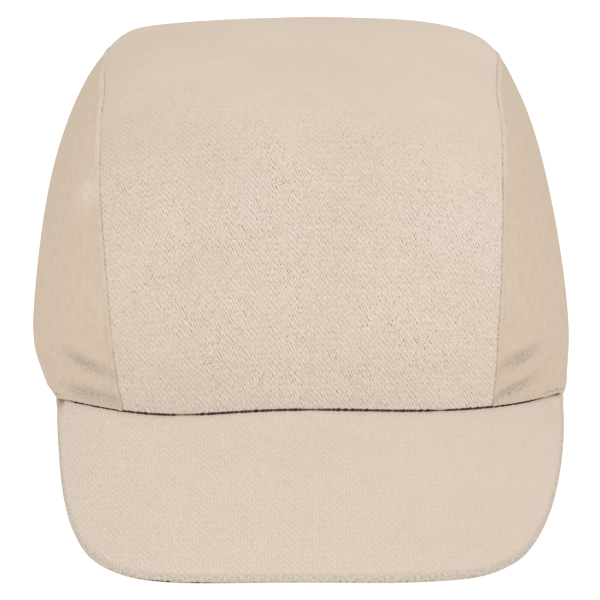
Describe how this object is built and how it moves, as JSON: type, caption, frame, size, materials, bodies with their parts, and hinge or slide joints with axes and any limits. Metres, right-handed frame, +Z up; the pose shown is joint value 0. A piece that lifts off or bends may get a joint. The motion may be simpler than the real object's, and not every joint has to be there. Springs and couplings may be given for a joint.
{
  "type": "sports cap",
  "caption": "Soft three-panel cotton twill sports cap with a deep rounded crown, a turned hem and a short, gently curved cloth-covered peak.",
  "frame": {"origin": "centre of the outer box in plan, on the surface that the cap lies on", "axes": "+Z up, the peak towards -Y, +X to the right as seen from in front of the peak"},
  "size_m": [0.1784, 0.257, 0.12],
  "materials": {
    "centre_twill": "matt beige cotton twill, coarse diagonal rib",
    "side_twill": "matt beige cotton twill, finer and a little darker",
    "peak_twill": "matt beige cotton twill stretched over a board"
  },
  "bodies": {
    "root": {"centre_panel": "centre_twill", "side_panel_left": "side_twill", "side_panel_right": "side_twill", "peak": "peak_twill"}
  },
  "joints": []
}
